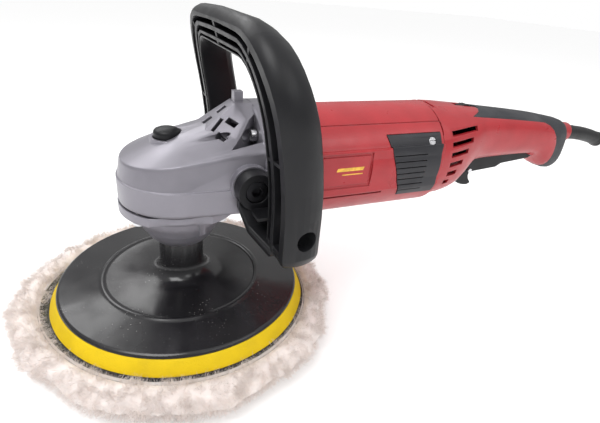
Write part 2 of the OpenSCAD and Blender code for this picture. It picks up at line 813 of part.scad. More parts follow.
module rear_half(screw_side) {
    difference() {
        union() {
            difference() {
                intersection() {
                    handle_solid(0);
                    block([190, -60, 70], [400, -0.05, 170]);
                }
                handle_solid(shell_wall, 0, 25);
                block([190, -33, 92], [193, 0, 152]);
            }
            for (i = [0 : 3]) ycyl(4.6, shell_boss_at[i][0], shell_boss_at[i][1], -boss_depth[i], -0.05);
            ycyl(4, pin_x, pin_z + 0.4, -14, -9.4);
            block([clamp_x - 4, -18.6, 119.4], [clamp_x + 4, -4.6, clamp_z]);
            intersection() {
                union() {
                    on_sleeve_line() translate([0, 0, -2.4]) cylinder(h = 7.8, r = 10.6);
                    on_sleeve_line() cylinder(h = 27.4, r = collar_r);
                }
                block([340, -20, 100], [400, -0.05, 150]);
            }
        }
        on_sleeve_line() translate([0, 0, -20]) cylinder(h = 60, r = sleeve_r + 0.05);
        on_sleeve_line() translate([0, 0, -0.1]) cylinder(h = 3.2, r = sleeve_r + sleeve_flange + 0.05);
        zcyl(1.55, 120.4, clamp_z + 1, clamp_x, -clamp_y);
        difference() {
            grip_region();
            handle_solid(grip_skin + 0.06);
            on_sleeve_line() cylinder(h = 40, r = collar_r);
        }
        block([238.4, -9.2, 80], [333.4, 1, 117]);
        block([dial_x - 13, -4.3, 133], [dial_x + 13, 1, 170]);
        ycyl(1.55, pin_x, pin_z, -12.6, 1);
        for (i = [0 : 5]) translate([201.8, -50, 144 - 7.9 * i]) rotate([0, -3, 0])
            translate([0, 0, -2]) cube([31 - 5 * i, 40, 4]);
        for (p = shell_boss_at) ycyl(screw_side ? 1.9 : 1.5, p[0], p[1], screw_side ? -60 : -11, 1);
        if (screw_side) for (i = [0 : 3])
            ycyl(3.6, shell_boss_at[i][0], shell_boss_at[i][1], -60, -boss_depth[i] + 4);
        block([194, -17, 159.4], [197, 1, 164]);
    }
}

module rear_shell_left() {
    color(red) rear_half(false);
}

module rear_shell_right() {
    color(red) mirror([0, 1, 0]) rear_half(true);
}

module shell_screws() {
    color("#5c5e63") for (i = [0 : 3]) let (x = shell_boss_at[i][0], z = shell_boss_at[i][1]) {
        difference() {
            union() {
                ycyl(3.4, x, z, boss_depth[i] - 3.95, boss_depth[i] - 1.6);
                ycyl(1.45, x, z, -10.5, boss_depth[i] - 3.95);
            }
            for (a = [0, 90]) translate([x, boss_depth[i] - 3, z]) rotate([0, a, 0])
                block([-2.2, 0, -0.4], [2.2, 3, 0.4]);
        }
    }
}

module soft_grip() {
    color("#2b2c30") difference() {
        intersection() {
            handle_solid(0, 6, 28);
            grip_region();
        }
        handle_solid(grip_skin, 5, 28);
        on_sleeve_line() cylinder(h = 40, r = collar_r + 0.15);
        block([dial_x - 13.5, -5, 140], [dial_x + 13.5, 5, 170]);
        block([300, -9.4, 80], [333.6, 9.4, 117]);
    }
}

// ---- Trigger and switch ----

lock_on_at = [254.4, 100.6];
lock_on_r = 2;

module trigger() {
    color("#1f1f22") difference() {
        side_plate([[239.4, 112.6], [239.6, 94], [242.5, 90.6], [247, 88], [252, 86.6], [257, 86.2],
            [260, 87], [260.2, 88.6], [257.4, 91.6], [256, 95.4], [256.6, 97.6], [259, 98.8],
            [288, 100.8], [294, 104], [328, 106.8], [331.4, 108.6], [332.4, 112], [330.6, 116.4],
            [326, 117.8], [321.4, 116.4], [318, 114.6], [246, 114.6], [241, 114]], -8.8, 8.8);
        ycyl(1.55, pin_x, pin_z, -10, 10);
        block([262, -6.4, 108], [316, 6.4, 116]);
        ycyl(lock_on_r + 0.05, lock_on_at[0], lock_on_at[1], -10, 10);
        for (x = [262 : 5 : 284]) block([x, -7, 96], [x + 1.4, 7, 99.6]);
        block([286.5, -2.4, 107], [292.5, 2.4, 109]);
    }
}

module trigger_pin() {
    color(steel) ycyl(1.5, pin_x, pin_z, -12.5, 12.5);
}

module lock_on_pin() {
    color("#d4d6da") ycyl(lock_on_r, lock_on_at[0], lock_on_at[1], -11.4, 8);
}

module trigger_spring() {
    color(steel) translate([289.5, 0, 108.1]) difference() {
        cylinder(h = 9.7, r = 2.3);
        translate([0, 0, -1]) cylinder(h = 12, r = 1.6);
    }
}

switch_x = [262, 304];
plunger_x = 276;

module switch_body() {
    color("#1d1d20") difference() {
        union() {
            block([switch_x[0], -8.5, 119.4], [switch_x[1], 8.5, 143]);
            block([285, -4, 117.9], [294, 4, 120]);
        }
        block([plunger_x - 4, -3.5, 118], [plunger_x + 4, 3.5, 128]);
        for (x = [266, 300]) ycyl(1.6, x, 139, -10, 10);
        for (x = [268, 284, 292]) block([x, -3, 141], [x + 4, 3, 144]);
    }
}

module switch_plunger() {
    color("#e8e8e6") block([plunger_x - 3.9, -3.4, 108.4], [plunger_x + 3.9, 3.4, 125]);
}

module speed_dial() {
    ribs = 24;
    color("#1b1b1d") difference() {
        ycyl(dial_r, dial_x, dial_z, -3.6, 3.6);
        for (i = [0 : ribs - 1]) translate([dial_x, 0, dial_z]) rotate([0, i * 360 / ribs, 0])
            translate([dial_r + 0.5, 5, 0]) rotate([90, 0, 0]) cylinder(h = 10, r = 1);
        ycyl(2.5, dial_x, dial_z, -5, 5);
    }
}

module dial_potentiometer() {
    color("#3f5a46") union() {
        ycyl(2.45, dial_x, dial_z, -3.4, 6);
        ycyl(6, dial_x, dial_z, 6, 11);
        block([dial_x - 18, 11, dial_z - 10], [dial_x + 8, 12.6, dial_z + 5]);
    }
}

// ---- Cord protector ----

bend_r = 212;
bend_turn = 11.6;
cord_r = 4.2;

// Things at the far end of the protector's bend
module sleeve_tip() {
    on_sleeve_line() translate([bend_r, 0, sleeve_straight]) rotate([0, bend_turn, 0])
        translate([-bend_r, 0, 0]) children();
}

module cord_sleeve() {
    lap = 0.5;            // how far each length runs into the next
    color("#232427") union() {
        on_sleeve_line() rotate_extrude() polygon([[cord_r, 0], [sleeve_r + sleeve_flange, 0],
            [sleeve_r + sleeve_flange, 3], [sleeve_r, 3], [sleeve_r, sleeve_straight + lap],
            [cord_r, sleeve_straight + lap]]);
        on_sleeve_line() translate([bend_r, 0, sleeve_straight]) rotate([90, 0, 0])
            rotate(180 - bend_turn) rotate_extrude(angle = bend_turn, $fn = 384)
                translate([bend_r, 0]) difference() {
                    circle(sleeve_r - 0.2, $fn = 96);
                    circle(cord_r + 0.2, $fn = 96);
                }
        sleeve_tip() rotate_extrude() polygon([[cord_r, -lap], [sleeve_r, -lap], [sleeve_r, 3],
            [sleeve_r + 0.5, 3.4], [sleeve_r + 0.5, 6], [sleeve_r, 6.6], [cord_r, 6.6]]);
    }
}

module cord_clamp() {
    color("#2b2b2d") difference() {
        block([clamp_x - 4, -11.6, clamp_z], [clamp_x + 4, 11.6, clamp_z + 4]);
        for (s = [-1, 1]) zcyl(1.6, clamp_z - 1, clamp_z + 5, clamp_x, s * clamp_y);
    }
}

module clamp_screws() {
    color(steel) for (s = [-1, 1]) union() {
        zcyl(3, clamp_z + 4, clamp_z + 6, clamp_x, s * clamp_y);
        zcyl(1.5, clamp_z - 10, clamp_z + 4, clamp_x, s * clamp_y);
    }
}

// ---- D-handle ----

loop_in_w = 65;
loop_in_top = 198;
loop_low = 87;
outer_bend = [43, 48];
inner_bend = [24, 34];

// One side of the loop as a quarter of the way: -1 foot, 0 to 1 the bend, 2 the middle of the top
function loop_edge(q, w, top, bend) =
    q <= 0 ? [-w, top - bend[1] + q * (top - bend[1] - loop_low)]
    : q <= 1 ? [-(w - bend[0]) - bend[0] * cos(90 * q), top - bend[1] + bend[1] * sin(90 * q)]
    : [-(w - bend[0]) * (2 - q), top];

// How far back the bar's front face lies at a height
function rake(z) = 39.5 - (z > 120 ? 16.8 * pow((z - 120) / 95, 1.6) : 0);

// [place along the side, 1 where the front is cored, how far the section is drawn in]
loop_stations = [[-1, 0, 6], [-0.975, 0, 3], [-0.94, 0, 1], [-0.9, 0, 0], [-0.86, 0, 0],
    [-0.856, 1, 0], [-0.6, 1, 0], [-0.4, 1, 0], [-0.212, 1, 0], [-0.208, 0, 0], [-0.182, 0, 0],
    [-0.178, 1, 0], [0, 1, 0], [0.12, 1, 0], [0.24, 1, 0], [0.36, 1, 0], [0.48, 1, 0], [0.59, 1, 0],
    [0.7, 1, 0], [0.704, 0, 0], [0.74, 0, 0], [0.744, 1, 0], [0.87, 1, 0], [1, 1, 0], [1.3, 1, 0],
    [1.65, 1, 0], [1.955, 1, 0], [1.96, 0, 0]];

// Section across the bar: distance out from the inner edge and back from the front face
function loop_section(q, cored, pull) =
    let (inner = loop_edge(q, loop_in_w, loop_in_top, inner_bend),
        outer = loop_edge(q, loop_w, loop_top, outer_bend),
        t = norm(outer - inner), k = min(1, max(0, (q - 0.2) / 0.8)),
        d = loop_depth + lookup(q, [[-0.3, 0], [0.6, -1.5], [2, -5.5]]),
        crown = lookup(q, [[-0.3, 2], [0.6, 6], [2, 7.5]]),
        deep = cored ? 14 : 0.5,
        a = lerp([1.9, 6.2], [5.4, 8.8], k), b = lerp([10.3, 20.3], [11.4, 14.8], k),
        c = lerp([0.9, 1.3], [1.6, 3.4], k), c_deep = cored ? lerp(0.5, 14, k) : 0.45)
    [for (p = [[0, 9], [0, 1.4], [0.5, 0.3], [c[0], 0], [c[0], c_deep], [c[1], c_deep], [c[1], 0],
        [a[0], 0], [a[0], deep], [a[1], deep], [a[1], 0],
        [b[0], 0], [b[0], deep], [b[1], deep], [b[1], 0],
        for (f = [0.02, 0.08, 0.18, 0.3, 0.43, 0.56, 0.69, 0.81, 0.91])
            [t - 1.4 + crown * sin(180 * pow(f, 0.8)) - 4 * pow(f, 4), d * f],
        [t - 7, d - 0.4], [t / 2, d], [5.6, d - 0.4], [2.2, d - 2.4], [0.4, d - 6]])
        let (u = lerp(p[0], t / 2, pull / 12), w = lerp(p[1], d / 2, pull / 16),
            yz = inner + (outer - inner) * u / t)
        [rake(yz[1]) + w, yz[0], yz[1]]];

function mirrored(ring) = [for (p = ring) [p[0], -p[1], p[2]]];

module loop_bar() {
    count = len(loop_stations);
    skin(concat(
        [for (s = loop_stations) loop_section(s[0], s[1] == 1, s[2])],
        [for (i = [count - 1 : -1 : 0]) let (s = loop_stations[i])
            mirrored(loop_section(s[0], s[1] == 1, s[2]))]));
}

boss_out = 54;

module loop_foot() {
    x = handle_bolt[0];
    z = handle_bolt[1];
    ycyl(11.6, x, z, -boss_out, -43.6);
    block([x, -boss_out, z - 10], [x + 24, -46, z + 10]);
    translate([47, 0, 0]) rotate([90, 0, 90]) linear_extrude(height = 15)
        polygon([[-46, z + 9], [-67, z + 12], [-67, 90], [-47, z - 10]]);
    block([33, -67, z - 12.5], [48, -46, z - 10.5]);
    hull() {
        translate([27, -47.5, 113]) rotate([0, 90, 0]) cylinder(h = 24, r = 3, $fn = coarse);
        translate([31, -55, 100]) rotate([0, 90, 0]) cylinder(h = 26, r = 3.4, $fn = coarse);
    }
    hull() {
        translate([31, -55, 100]) rotate([0, 90, 0]) cylinder(h = 26, r = 3.4, $fn = coarse);
        translate([39.6, -69.5, 91]) rotate([0, 90, 0]) cylinder(h = 22, r = 4, $fn = coarse);
    }
}

module loop_handle() {
    x = handle_bolt[0];
    z = handle_bolt[1];
    color(black) difference() {
        union() {
            loop_bar();
            both_sides() loop_foot();
        }
        both_sides() {
            ycyl(bolt_r + 0.3, x, z, -boss_out - 1, -40);
            ycyl(7.2, x, z, -boss_out - 1, -boss_out + 8);
            ycyl(6.3, 54, 107, -100, -76);
        }
    }
}

module handle_bolts() {
    x = handle_bolt[0];
    z = handle_bolt[1];
    color("#3a3b3f") both_sides() difference() {
        union() {
            ycyl(6.6, x, z, -boss_out + 1, -boss_out + 8);
            ycyl(bolt_r, x, z, -boss_out + 8, -32);
        }
        translate([x, -boss_out + 5, z]) rotate([90, 0, 0]) cylinder(h = 8, r = 3.5, $fn = 6);
    }
}

wool_pile();
wool_backing();
hook_disc();
foam_ring();
backing_plate();
hub_insert();
spindle();
spindle_bearing_outer();
spindle_bearing_inner();
ring_gear();
gear_key();
spindle_circlip();
spindle_bush();
gear_case();
bearing_cover();
cover_screws();
lock_button();
lock_pin();
lock_spring();
pinion();
pinion_nut();
front_bearing_outer();
front_bearing_inner();
bearing_retainer();
case_screws();
motor_housing();
cooling_fan();
fan_baffle();
stator_core();
field_coils();
armature_shaft();
armature_core();
armature_windings();
commutator();
rear_bearing_outer();
rear_bearing_inner();
carbon_brushes();
brush_springs();
brush_holders();
side_cover_left();
side_cover_right();
cover_plate_screws();
rear_shell_left();
rear_shell_right();
shell_screws();
soft_grip();
trigger();
trigger_pin();
lock_on_pin();
switch_body();
switch_plunger();
trigger_spring();
speed_dial();
dial_potentiometer();
cord_sleeve();
cord_clamp();
clamp_screws();
loop_handle();
handle_bolts();
badge_plate();
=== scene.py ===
import json
import math
import random

import bmesh
import bpy
import numpy as np
from mathutils import Matrix, Vector, noise

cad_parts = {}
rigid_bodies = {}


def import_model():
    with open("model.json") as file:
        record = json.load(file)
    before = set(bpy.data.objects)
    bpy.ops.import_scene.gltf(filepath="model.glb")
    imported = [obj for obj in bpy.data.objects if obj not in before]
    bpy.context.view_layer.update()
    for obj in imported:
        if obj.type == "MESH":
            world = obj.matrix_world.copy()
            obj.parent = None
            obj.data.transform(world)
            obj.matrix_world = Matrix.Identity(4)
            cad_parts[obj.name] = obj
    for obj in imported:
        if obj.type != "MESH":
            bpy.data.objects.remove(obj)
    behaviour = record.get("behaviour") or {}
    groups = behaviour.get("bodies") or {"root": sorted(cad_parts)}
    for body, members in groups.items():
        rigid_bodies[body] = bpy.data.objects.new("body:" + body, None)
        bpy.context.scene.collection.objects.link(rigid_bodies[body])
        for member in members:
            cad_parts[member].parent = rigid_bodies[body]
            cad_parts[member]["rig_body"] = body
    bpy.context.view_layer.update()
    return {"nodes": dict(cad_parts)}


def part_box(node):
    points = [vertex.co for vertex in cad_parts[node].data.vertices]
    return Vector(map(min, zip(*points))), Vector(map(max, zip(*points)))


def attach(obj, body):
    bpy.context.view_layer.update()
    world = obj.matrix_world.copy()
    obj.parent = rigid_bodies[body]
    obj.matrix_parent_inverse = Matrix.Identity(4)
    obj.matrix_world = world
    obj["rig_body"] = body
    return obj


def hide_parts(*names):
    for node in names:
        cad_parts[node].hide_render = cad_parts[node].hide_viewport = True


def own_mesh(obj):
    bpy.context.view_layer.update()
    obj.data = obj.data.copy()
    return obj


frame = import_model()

NODES = frame["nodes"]

# Lengths are in metres.
CLOSE = 0.000002        # points nearer than this are one point
WOOL_SEED = 21
WOOL_LOCKS = 3400
LOCK_FIBRES = 18
WOOL_FOOT = 0.0004      # lowest height of the fleece above the floor
WOOL_FREE = 0.0935      # radius from which the locks stand out
WOOL_ROLL = 0.0085      # radius of the fleece's rounded top edge
BEVEL_STEPS = 3


# ---- Camera, floor and light ----

def make_camera():
    """The photograph's angle: from the front left, a little above the handle, close by."""
    back = Vector((-0.4012, -0.7961, 0.4530)).normalized()
    level = Vector((0.8930, -0.4500, 0.0)).normalized()
    rise = back.cross(level)
    roll = math.radians(5.388)
    right = level * math.cos(roll) + rise * math.sin(roll)
    up = rise * math.cos(roll) - level * math.sin(roll)
    camera = bpy.data.objects.new("camera", bpy.data.cameras.new("camera"))
    camera.data.sensor_width = 36
    camera.data.lens = 26.466
    camera.data.clip_start = 0.01
    turn = Matrix((right, up, back)).transposed().to_4x4()
    camera.matrix_world = Matrix.Translation((-0.0476, -0.28044, 0.23493)) @ turn
    bpy.context.scene.collection.objects.link(camera)
    bpy.context.scene.camera = camera


def area_light(name, place, aim, size, power):
    lamp = bpy.data.lights.new(name, "AREA")
    lamp.shape = "RECTANGLE"
    lamp.size, lamp.size_y = size
    lamp.energy = power
    holder = bpy.data.objects.new(name, lamp)
    holder.location = place
    holder.rotation_euler = (Vector(place) - Vector(aim)).to_track_quat("Z", "Y").to_euler()
    bpy.context.scene.collection.objects.link(holder)


def make_studio():
    """A pale floor that runs far out, a sky that is brightest overhead, and three soft lamps."""
    bpy.ops.mesh.primitive_plane_add(size=14, location=(0.15, 0, -0.0004))
    floor = bpy.context.object
    floor.name = "floor"
    paper = bpy.data.materials.new("paper")
    paper.use_nodes = True
    shader = paper.node_tree.nodes["Principled BSDF"]
    shader.inputs["Base Color"].default_value = (0.93, 0.93, 0.93, 1)
    shader.inputs["Roughness"].default_value = 0.9
    shader.inputs["Emission Color"].default_value = (1, 1, 1, 1)
    shader.inputs["Emission Strength"].default_value = 0.16
    floor.data.materials.append(paper)
    world = bpy.data.worlds.new("sky")
    world.use_nodes = True
    tree = world.node_tree
    sky = tree.nodes["Background"]
    sky.inputs["Color"].default_value = (1, 1, 1, 1)
    height = tree.nodes.new("ShaderNodeSeparateXYZ")
    tree.links.new(tree.nodes.new("ShaderNodeTexCoord").outputs["Generated"], height.inputs[0])
    fade = tree.nodes.new("ShaderNodeMapRange")
    tree.links.new(height.outputs["Z"], fade.inputs["Value"])
    fade.inputs["To Min"].default_value = 0.32
    fade.inputs["To Max"].default_value = 1.15
    seen = tree.nodes.new("ShaderNodeMath")
    seen.operation = "MAXIMUM"
    tree.links.new(fade.outputs["Result"], seen.inputs[0])
    tree.links.new(tree.nodes.new("ShaderNodeLightPath").outputs["Is Camera Ray"], seen.inputs[1])
    tree.links.new(seen.outputs[0], sky.inputs["Strength"])
    bpy.context.scene.world = world
    bpy.context.scene.view_settings.view_transform = "Standard"
    middle = (0.1, 0, 0.1)
    area_light("key", (-0.45, -0.35, 1.1), middle, (0.6, 0.6), 7)
    area_light("window", (0.6, -0.9, 1.0), middle, (1.2, 0.4), 4)
    area_light("back", (-0.3, 0.9, 1.0), middle, (1.0, 0.4), 5)


# ---- Finishes ----

class Finish:
    """A Principled material, with short calls for the nodes that its look is built from."""

    def __init__(self, name, color, roughness, metallic=0.0, **sockets):
        self.material = bpy.data.materials.new(name)
        self.material.use_nodes = True
        self.tree = self.material.node_tree
        self.shader = self.tree.nodes["Principled BSDF"]
        self.color, self.rough = color, roughness
        self.set(self.shader, Roughness=roughness, Metallic=metallic)
        self.shader.inputs["Base Color"].default_value = (*color, 1)
        for socket, value in sockets.items():
            self.shader.inputs[socket.replace("_", " ")].default_value = value
        self.place = self.node("ShaderNodeTexCoord").outputs["Object"]
        self.normal = None

    def node(self, kind, **inputs):
        made = self.tree.nodes.new(kind)
        self.set(made, **inputs)
        return made

    def set(self, made, **inputs):
        for socket, value in inputs.items():
            plug = made.inputs[socket.replace("_", " ")]
            if isinstance(value, bpy.types.NodeSocket):
                self.tree.links.new(value, plug)
            else:
                plug.default_value = value

    def noise(self, scale, detail=3.0, stretch=(1, 1, 1)):
        place = self.node("ShaderNodeMapping", Vector=self.place, Scale=stretch)
        made = self.node("ShaderNodeTexNoise", Vector=place.outputs[0], Scale=scale, Detail=detail)
        return made.outputs[0]

    def cells(self, scale):
        made = self.node("ShaderNodeTexVoronoi", Vector=self.place, Scale=scale)
        return made.outputs["Distance"]

    def ramp(self, value, low, high, out_low=0.0, out_high=1.0):
        made = self.node("ShaderNodeMapRange")
        made.clamp = True
        self.tree.links.new(value, made.inputs["Value"])
        made.inputs["From Min"].default_value = low
        made.inputs["From Max"].default_value = high
        made.inputs["To Min"].default_value = out_low
        made.inputs["To Max"].default_value = out_high
        return made.outputs["Result"]

    def times(self, a, b):
        made = self.node("ShaderNodeMath")
        made.operation = "MULTIPLY"
        for plug, value in zip(made.inputs, (a, b)):
            if isinstance(value, bpy.types.NodeSocket):
                self.tree.links.new(value, plug)
            else:
                plug.default_value = value
        return made.outputs[0]

    def blend(self, share, first, second):
        """first where share is 0 and second where it is 1. Each is a colour or a socket."""
        made = self.node("ShaderNodeMix")
        made.data_type = "RGBA"
        self.tree.links.new(share, made.inputs["Factor"])
        for plug, value in ((made.inputs[6], first), (made.inputs[7], second)):
            if isinstance(value, bpy.types.NodeSocket):
                self.tree.links.new(value, plug)
            else:
                plug.default_value = (*value, 1)
        return made.outputs[2]

    def paint(self, socket):
        self.tree.links.new(socket, self.shader.inputs["Base Color"])

    def tint(self, scale, amount, detail=3.0):
        """Base colour that drifts by amount either side of the finish's own."""
        dark = tuple(c * (1 - amount) for c in self.color)
        light = tuple(min(1, c * (1 + amount)) for c in self.color)
        share = self.ramp(self.noise(scale, detail), 0.35, 0.65)
        return self.blend(share, dark, light)

    def gloss(self, scale, spread, detail=4.0, stretch=(1, 1, 1)):
        value = self.ramp(self.noise(scale, detail, stretch), 0.3, 0.7,
                          self.rough - spread, self.rough + spread)
        self.set(self.shader, Roughness=value)

    def soften(self, radius):
        """Rounds the shading of every edge by radius, in metres."""
        made = self.node("ShaderNodeBevel", Radius=radius)
        made.samples = 4
        self.normal = made.outputs[0]

    def bump(self, height, strength, depth):
        made = self.node("ShaderNodeBump", Strength=strength, Distance=depth, Height=height)
        if self.normal is not None:
            self.tree.links.new(self.normal, made.inputs["Normal"])
        self.normal = made.outputs[0]

    def edges(self, radius):
        """1 on sharp edges, falling to 0 on open faces."""
        bevel = self.node("ShaderNodeBevel", Radius=radius)
        bevel.samples = 4
        turn = self.node("ShaderNodeVectorMath")
        turn.operation = "DOT_PRODUCT"
        self.tree.links.new(bevel.outputs[0], turn.inputs[0])
        self.tree.links.new(self.node("ShaderNodeNewGeometry").outputs["Normal"], turn.inputs[1])
        return self.ramp(turn.outputs["Value"], 0.99, 0.86)

    def done(self):
        if self.normal is not None:
            self.tree.links.new(self.normal, self.shader.inputs["Normal"])
        return self.material


def moulded(name, color, roughness, grain=0.00004, dust=0.0, worn=0.12, **sockets):
    """Moulded plastic: spark-eroded grain, edges rubbed a little lighter, and dust on request."""
    f = Finish(name, color, roughness, **sockets)
    base = f.tint(55, 0.07)
    rubbed = tuple(c + (0.35 - c) * worn for c in color)
    patches = f.ramp(f.noise(240), 0.35, 0.7, 0.15, 0.8)
    base = f.blend(f.times(f.edges(0.0007), patches), base, rubbed)
    if dust:
        specks = f.ramp(f.cells(420), 0.16, 0.07)
        patch = f.ramp(f.noise(38, 2), 0.5, 0.72)
        haze = f.ramp(f.noise(16, 5), 0.45, 0.8, 0, 0.05 * dust)
        base = f.blend(haze, base, (0.42, 0.41, 0.40))
        base = f.blend(f.times(f.times(specks, patch), 0.5 * dust), base, (0.62, 0.6, 0.57))
    f.paint(base)
    f.gloss(70, 0.07)
    f.soften(0.0006)
    f.bump(f.noise(1500, 3), 0.6, grain)
    return f.done()


def cast_metal(name, color, roughness, metallic):
    """Blasted aluminium casting: fine pits, painted shade darkening the corners, bright rubbed
    edges.
    """
    f = Finish(name, color, roughness, metallic)
    base = f.tint(45, 0.05, 4)
    pits = f.ramp(f.cells(900), 0.12, 0.05, 0, 0.5)
    base = f.blend(f.times(pits, f.ramp(f.noise(120), 0.5, 0.7)), base, (0.16, 0.16, 0.17))
    # painted shade: the colour is darkened towards a third of itself where ambient occlusion finds
    # corners and recesses
    shade = f.node("ShaderNodeAmbientOcclusion", Distance=0.006)
    shade.samples = 4
    corner = f.ramp(shade.outputs["AO"], 0.75, 0.2, 0, 0.6)
    base = f.blend(corner, base, tuple(c * 0.35 for c in color))
    bright = tuple(min(1, c * 1.5) for c in color)
    patches = f.ramp(f.noise(300), 0.3, 0.6, 0.2, 0.9)
    base = f.blend(f.times(f.edges(0.0008), patches), base, bright)
    f.paint(base)
    f.gloss(90, 0.06)
    f.soften(0.0008)
    f.bump(f.noise(700, 4), 0.5, 0.00007)
    return f.done()


def turned_metal(name, color, roughness, stretch=(1, 1, 12)):
    """Machined metal: tool marks drawn out across the axis, and a thin film of oil."""
    f = Finish(name, color, roughness, 1.0)
    base = f.tint(60, 0.12)
    stain = f.ramp(f.noise(35, 5), 0.55, 0.8, 0, 0.35)
    base = f.blend(stain, base, tuple(c * 0.45 for c in color))
    f.paint(base)
    f.gloss(260, 0.08, 3, stretch)
    f.soften(0.0003)
    f.bump(f.noise(900, 2, stretch), 0.4, 0.00003)
    return f.done()


def laminations(name, color):
    """A stack of thin varnished sheets along the motor axis."""
    f = Finish(name, color, 0.45, 0.8)
    sheets = f.node("ShaderNodeTexWave", Vector=f.place, Scale=320.0, Distortion=0.4, Detail=1.0)
    sheets.bands_direction = "X"
    base = f.blend(f.ramp(sheets.outputs[1], 0.2, 0.5), tuple(c * 0.4 for c in color), color)
    rust = f.ramp(f.noise(60, 5), 0.6, 0.8, 0, 0.4)
    f.paint(f.blend(rust, base, (0.12, 0.06, 0.03)))
    f.gloss(120, 0.1)
    f.bump(sheets.outputs[1], 0.5, 0.00012)
    return f.done()


def windings(name, color):
    """Varnished enamelled wire laid side by side."""
    f = Finish(name, color, 0.3, 0.7, Coat_Weight=0.6)
    wire = f.node("ShaderNodeTexWave", Vector=f.place, Scale=190.0, Distortion=2.5, Detail=2.0)
    wire.bands_direction = "DIAGONAL"
    base = f.blend(f.ramp(wire.outputs[1], 0.15, 0.6), tuple(c * 0.25 for c in color), color)
    f.paint(f.blend(f.ramp(f.noise(80), 0.5, 0.75, 0, 0.5), base, (0.2, 0.07, 0.02)))
    f.gloss(100, 0.1)
    f.bump(wire.outputs[1], 0.8, 0.0003)
    return f.done()


def rubber(name, color, roughness=0.62):
    """Soft overmould: fine pebble grain, pale scuffs and dust held in the grain."""
    f = Finish(name, color, roughness, Specular_IOR_Level=0.35)
    base = f.tint(50, 0.12)
    pebble = f.cells(1300)
    base = f.blend(f.ramp(pebble, 0.45, 0.15, 0, 0.25), base, tuple(c * 2.6 for c in color))
    base = f.blend(f.ramp(f.noise(26, 5), 0.52, 0.8, 0, 0.12), base, (0.35, 0.34, 0.33))
    f.paint(base)
    f.gloss(60, 0.08)
    f.soften(0.0006)
    f.bump(pebble, 0.7, 0.00009)
    return f.done()


def wool_finish():
    """Washed lambswool: warm white locks, a little creamier in patches, and painted shade darkening
    the creases between them.
    """
    f = Finish("wool", (0.78, 0.70, 0.67), 0.95, Sheen_Weight=0.15, Sheen_Roughness=0.6,
               Subsurface_Weight=0.3, Subsurface_Scale=0.006, Specular_IOR_Level=0.1)
    f.shader.inputs["Subsurface Radius"].default_value = (1.0, 0.85, 0.75)
    base = f.blend(f.ramp(f.noise(160, 5), 0.3, 0.6), (0.72, 0.65, 0.62), (0.80, 0.73, 0.70))
    base = f.blend(f.ramp(f.noise(26, 3), 0.45, 0.75, 0, 0.5), base, (0.76, 0.68, 0.63))
    # painted shade: the wool is darkened to warm grey where ambient occlusion finds creases between
    # the locks
    depth = f.node("ShaderNodeAmbientOcclusion", Distance=0.004)
    depth.samples = 4
    base = f.blend(f.ramp(depth.outputs["AO"], 0.5, 0.1, 0, 0.25), base, (0.60, 0.52, 0.48))
    f.paint(base)
    f.bump(f.noise(650, 5), 0.4, 0.0003)
    return f.done()


def foam_finish():
    """Closed-cell yellow foam: fine pores on the cut edge, a little soiling in patches."""
    f = Finish("yellow_foam", (0.72, 0.50, 0.004), 0.68, Specular_IOR_Level=0.3)
    pores = f.cells(950)
    base = f.tint(45, 0.07)
    base = f.blend(f.ramp(pores, 0.2, 0.05, 0, 0.55), base, (0.45, 0.28, 0.01))
    soiled = f.ramp(f.noise(60, 5), 0.55, 0.8, 0, 0.35)
    f.paint(f.blend(soiled, base, (0.55, 0.36, 0.02)))
    f.gloss(80, 0.06)
    f.bump(pores, 0.8, 0.00018)
    return f.done()


def woven(name, dark, light, pitch=1.3):
    """Coarse knitted cloth: crossed ribs with stray pale fibres. Pitch is in millimetres."""
    f = Finish(name, dark, 0.95, Sheen_Weight=0.3)
    ribs = []
    for direction in ("X", "Y"):
        rib = f.node("ShaderNodeTexWave", Vector=f.place, Scale=314 / pitch / 2, Distortion=0.6)
        rib.bands_direction = direction
        ribs.append(rib.outputs[1])
    weave = f.times(*ribs)
    base = f.blend(f.ramp(weave, 0.15, 0.75), tuple(c * 0.5 for c in dark), dark)
    stray = f.ramp(f.noise(900, 2, (1, 1, 6)), 0.62, 0.72, 0, 0.7)
    f.paint(f.blend(stray, base, light))
    f.bump(weave, 0.9, 0.0004)
    return f.done()


# ---- Meshes ----

def smooth_by_angle(mesh, degrees):
    mesh.shade_smooth()
    mesh.set_sharp_from_angle(angle=math.radians(degrees))


def new_piece(name, body, vertices, faces, finishes, smooth=180):
    mesh = bpy.data.meshes.new(name)
    mesh.from_pydata([tuple(v) for v in vertices], [], faces)
    mesh.validate()
    smooth_by_angle(mesh, smooth)
    piece = bpy.data.objects.new(name, mesh)
    for finish in finishes:
        mesh.materials.append(finish)
    bpy.context.scene.collection.objects.link(piece)
    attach(piece, body)
    return piece


def dress(finish, *names):
    """Gives CAD nodes their finish, and leaves their shape alone."""
    for name in names:
        mesh = NODES[name].data
        mesh.materials.clear()
        mesh.materials.append(finish)


def rounded(name, finish, width, sharp):
    """Stands in for a CAD node: its shape, with whole flat faces and rounded sharp edges."""
    node = NODES[name]
    mesh = node.data.copy()
    shape = bmesh.new()
    shape.from_mesh(mesh)
    bmesh.ops.remove_doubles(shape, verts=shape.verts, dist=CLOSE)
    bmesh.ops.dissolve_limit(shape, angle_limit=math.radians(0.4), verts=shape.verts,
                             edges=shape.edges, use_dissolve_boundaries=False)
    shape.to_mesh(mesh)
    shape.free()
    mesh.materials.clear()
    mesh.materials.append(finish)
    smooth_by_angle(mesh, sharp)
    piece = bpy.data.objects.new(name + "_shell", mesh)
    bpy.context.scene.collection.objects.link(piece)
    bevel = piece.modifiers.new("round", "BEVEL")
    bevel.width = width
    bevel.segments = BEVEL_STEPS
    bevel.limit_method = "ANGLE"
    bevel.angle_limit = math.radians(sharp)
    bevel.use_clamp_overlap = True
    bevel.harden_normals = True
    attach(piece, node["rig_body"])
    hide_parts(name)


